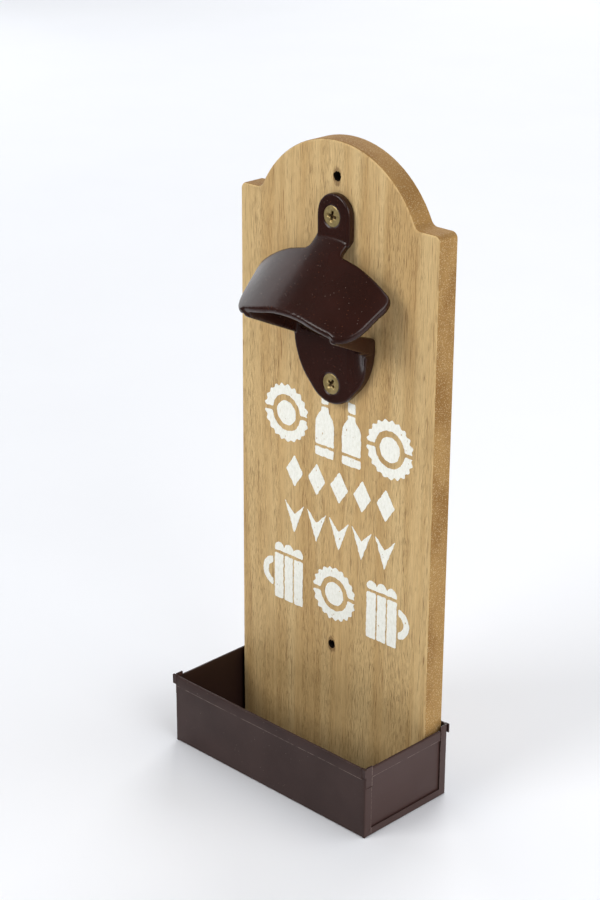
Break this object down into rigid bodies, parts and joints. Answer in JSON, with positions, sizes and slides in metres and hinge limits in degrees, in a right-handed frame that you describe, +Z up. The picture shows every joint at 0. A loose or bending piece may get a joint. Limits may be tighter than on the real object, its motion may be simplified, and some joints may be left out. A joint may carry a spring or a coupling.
{
  "type": "wall mounted bottle opener",
  "caption": "Wall-mounted bottle opener: domed wooden board with a hooded cast opener, stencilled ornament and a folded sheet tray that catches the caps.",
  "frame": {"origin": "centre of the bounding box in plan, at the tray's underside", "axes": "+Z up along the board, the opener faces -Y, the wall is on the +Y side, +X to the viewer's right"},
  "size_m": [0.1062, 0.0476, 0.2523],
  "materials": {
    "fibreboard": "raw fibreboard edge, stained, speckled",
    "front_wood": "stained veneer, matt, vertical grain",
    "back_wood": "plain veneer, matt",
    "print_paint": "chalky stencil paint",
    "opener_enamel": "glossy dark brown enamel",
    "yellow_zinc": "yellow passivated zinc",
    "tray_coating": "satin dark brown coating"
  },
  "bodies": {
    "root": {"board_core": "fibreboard", "front_veneer": "front_wood", "back_veneer": "back_wood", "stencil_print": "print_paint", "opener": "opener_enamel", "opener_screw_upper": "yellow_zinc", "opener_screw_lower": "yellow_zinc", "tray_body": "tray_coating", "tray_end_left": "tray_coating", "tray_end_right": "tray_coating", "tray_screw_left": "yellow_zinc", "tray_screw_right": "yellow_zinc"}
  },
  "joints": []
}
